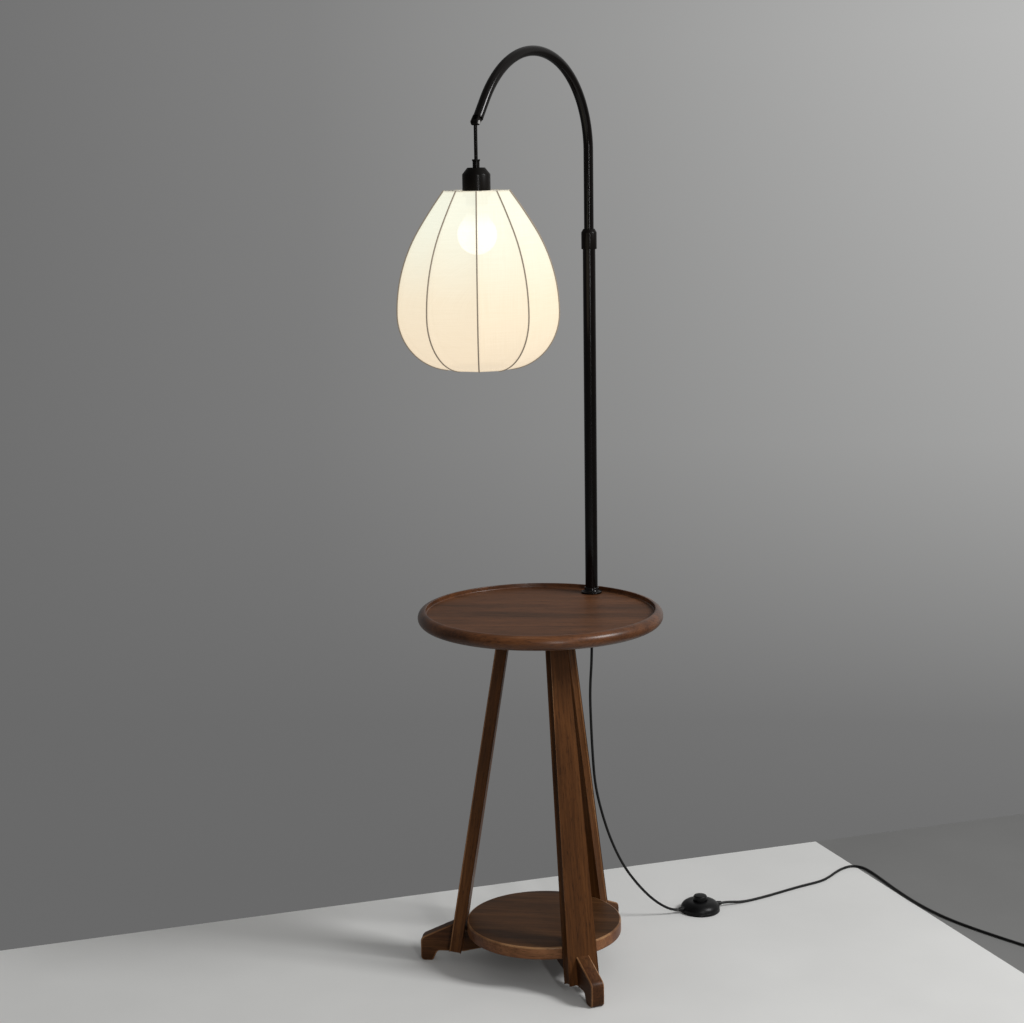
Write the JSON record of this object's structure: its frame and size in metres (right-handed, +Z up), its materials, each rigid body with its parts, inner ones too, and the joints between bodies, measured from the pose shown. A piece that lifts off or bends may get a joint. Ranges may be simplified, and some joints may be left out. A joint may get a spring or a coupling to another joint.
{
  "type": "floor lamp with table",
  "caption": "Floor lamp with an arched adjustable arm and hanging ribbed cloth shade, standing on a round wooden tray table with splayed legs and a lower shelf.",
  "frame": {"origin": "bottom centre of the lamp's bounding box, cord and foot switch left out", "axes": "+Z up; the pole, the tray's centre and the shade lie in the plane X = 0, the pole at +Y and the shade at -Y"},
  "size_m": [0.9885, 0.9801, 1.5052],
  "materials": {
    "walnut": "satin stained walnut",
    "dowel_wood": "raw beech",
    "zinc_steel": "zinc-plated steel",
    "black_steel": "satin black powder coat on steel",
    "bright_steel": "bright nickel-plated steel",
    "white_wire": "white coated wire",
    "shade_cloth": "white cloth, lit from inside",
    "black_plastic": "black moulded plastic",
    "nylon": "natural nylon",
    "brass": "brass",
    "opal_glass": "opal glass, lit",
    "bulb_cap": "plain",
    "black_cord": "black flexible sheath"
  },
  "bodies": {
    "stand": {"collar_ferrule": "nylon", "cord_bush": "black_cord", "cord_coil": "black_cord", "cord_lower": "black_cord", "cord_upper": "black_cord", "flex_pole": "black_cord", "flex_slack": "black_cord", "foot_back": "walnut", "foot_left": "walnut", "foot_right": "walnut", "foot_screws": "zinc_steel", "leg_back": "walnut", "leg_bolts": "zinc_steel", "leg_dowels": "dowel_wood", "leg_inserts": "zinc_steel", "leg_left": "walnut", "leg_right": "walnut", "plug_body": "black_plastic", "plug_pins": "brass", "pole_flange": "black_steel", "pole_lower": "black_steel", "pole_nut": "zinc_steel", "pole_plug": "zinc_steel", "pole_stud": "zinc_steel", "pole_washer": "zinc_steel", "shelf": "walnut", "shelf_screws": "zinc_steel", "switch_base": "black_plastic", "switch_block": "black_plastic", "switch_bushes": "black_cord", "switch_cover": "black_plastic", "switch_screws": "zinc_steel", "switch_spring": "zinc_steel", "tray_top": "walnut"},
    "guide": {"guide_bush": "nylon"},
    "arm": {"arm_tube": "black_steel", "arm_fork": "black_steel", "pivot_screw": "bright_steel", "pivot_nut": "bright_steel", "flex_arm": "black_cord"},
    "head": {"hanger_rod": "black_steel", "rod_coupler": "black_steel", "holder_nipple": "zinc_steel", "holder_cup": "black_steel", "lampholder": "black_plastic", "lamp_contact": "brass", "shade_ring": "black_plastic", "shade_gallery": "white_wire", "shade_frame": "white_wire", "shade_cover": "shade_cloth", "bulb_glass": "opal_glass", "bulb_cap": "bulb_cap", "flex_rod": "black_cord"},
    "collar_body": {"collar": "black_steel"},
    "button": {"switch_button": "black_plastic"}
  },
  "joints": [
    {"name": "arm_height", "type": "slide", "parent": "stand", "child": "guide", "axis": [0, 0, 1], "range_m": [-0.1, 0.15], "deforming": ["flex_slack"]},
    {"name": "arm_swivel", "type": "hinge", "parent": "guide", "child": "arm", "pos_m": [0, 0.2135, 0.97], "axis": [0, 0, 1], "range_deg": [-160, 160]},
    {"name": "head_swing", "type": "hinge", "parent": "arm", "child": "head", "pos_m": [0, -0.12199, 1.38904], "axis": [1, 0, 0], "range_deg": [-35, 35]},
    {"name": "collar_twist", "type": "hinge", "parent": "stand", "child": "collar_body", "pos_m": [0, 0.2135, 1.182], "axis": [0, 0, 1], "range_deg": [0, 120]},
    {"name": "switch_press", "type": "slide", "parent": "stand", "child": "button", "axis": [0, 0, -1], "range_m": [0, 0.003], "stiffness_N_per_m": 900, "springref_m": -0.003, "deforming": ["switch_spring"]}
  ]
}
